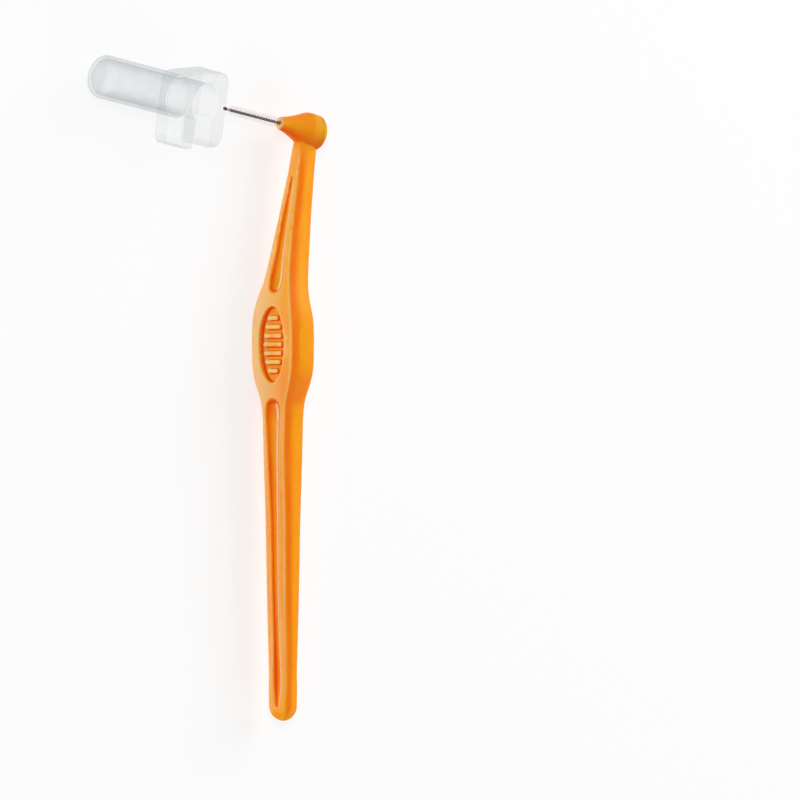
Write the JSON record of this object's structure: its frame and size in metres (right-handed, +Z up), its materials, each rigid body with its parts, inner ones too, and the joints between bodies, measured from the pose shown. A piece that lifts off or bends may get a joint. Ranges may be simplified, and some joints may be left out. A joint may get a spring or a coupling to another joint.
{
  "type": "interdental brush",
  "caption": "Angled interdental brush: slim grooved handle with a wide middle, a nozzle head that holds a bristled twisted wire, and a clear cap that slides over the head.",
  "frame": {"origin": "on the floor under the middle of the handle's bulge, where the brush lies on its side", "axes": "+Z up across the handle's width; the wire and the cap lie along Y with the tip towards -Y; the handle's free end is towards +X"},
  "size_m": [0.1054, 0.0574, 0.0112],
  "materials": {
    "handle_plastic": "orange polypropylene, satin gloss from the mould",
    "wire_steel": "drawn stainless steel",
    "wire_sleeve": "thin dark red-brown plastic coating",
    "filament": "clear white nylon filaments",
    "cap_plastic": "clear moulded plastic"
  },
  "bodies": {
    "brush": {"handle": "handle_plastic", "rear_lid": "handle_plastic", "wire_core": "wire_steel", "wire_coating": "wire_sleeve", "bristles": "filament"},
    "cap": {"protective_cap": "cap_plastic"}
  },
  "joints": [
    {"name": "cap_slide", "type": "slide", "parent": "brush", "child": "cap", "axis": [0, 1, 0], "range_m": [0, 0.0263]}
  ]
}
